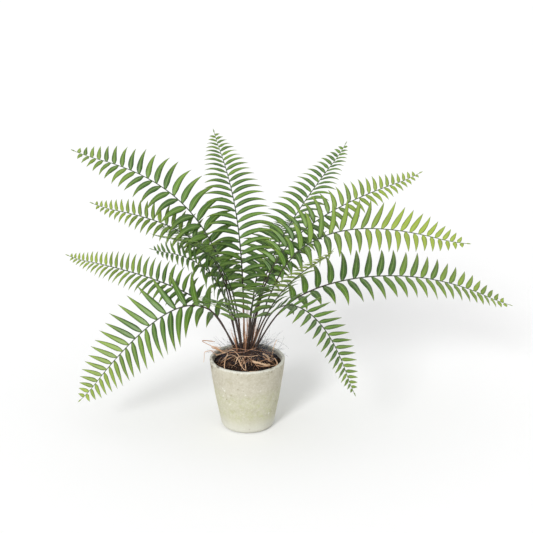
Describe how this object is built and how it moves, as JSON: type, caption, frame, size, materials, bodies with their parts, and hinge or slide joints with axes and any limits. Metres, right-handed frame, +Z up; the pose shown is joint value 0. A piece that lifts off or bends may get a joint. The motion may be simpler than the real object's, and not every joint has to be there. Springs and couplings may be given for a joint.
{
  "type": "potted fern",
  "caption": "Potted fern with long feathery fronds arching out of a crown of dark stems, in a round tapering clay pot filled with soil and loose straw.",
  "frame": {"origin": "centre of the pot's flat underside", "axes": "+Z up along the pot's axis, +X to the right along the plant's widest spread, -Y towards the front"},
  "size_m": [0.7635, 0.3929, 0.4872],
  "materials": {
    "clay": "matte",
    "soil": "matte",
    "crown": "matte",
    "leaf": "satin",
    "dry_stipe": "matte",
    "straw": "matte",
    "bark": "matte"
  },
  "bodies": {
    "root": {"pot": "clay", "soil": "soil", "crown": "crown", "frond_left_high": "leaf", "frond_left_upper": "leaf", "frond_left_front": "leaf", "frond_left_edge": "leaf", "frond_left_middle": "leaf", "frond_left_low": "leaf", "frond_top": "leaf", "frond_right_high": "leaf", "frond_right_upper": "leaf", "frond_right_middle": "leaf", "frond_right_long": "leaf", "frond_right_low": "leaf", "frond_right_short": "leaf", "frond_inner_right": "leaf", "frond_front_right": "leaf", "frond_front_left": "leaf", "frond_back_right": "leaf", "frond_back_left": "leaf", "dry_stipe_middle": "dry_stipe", "dry_stipe_right": "dry_stipe", "dry_stipe_left": "dry_stipe", "dry_stipe_back": "dry_stipe", "straw_bundle": "straw", "straw_hook": "straw", "straw_hanging": "straw", "straw_front": "straw", "straw_cross": "straw", "straw_loop": "straw", "straw_long": "straw", "straw_rim": "straw", "straw_stalk": "straw", "straw_right": "straw", "bark_long": "bark", "bark_bent": "bark"}
  },
  "joints": []
}
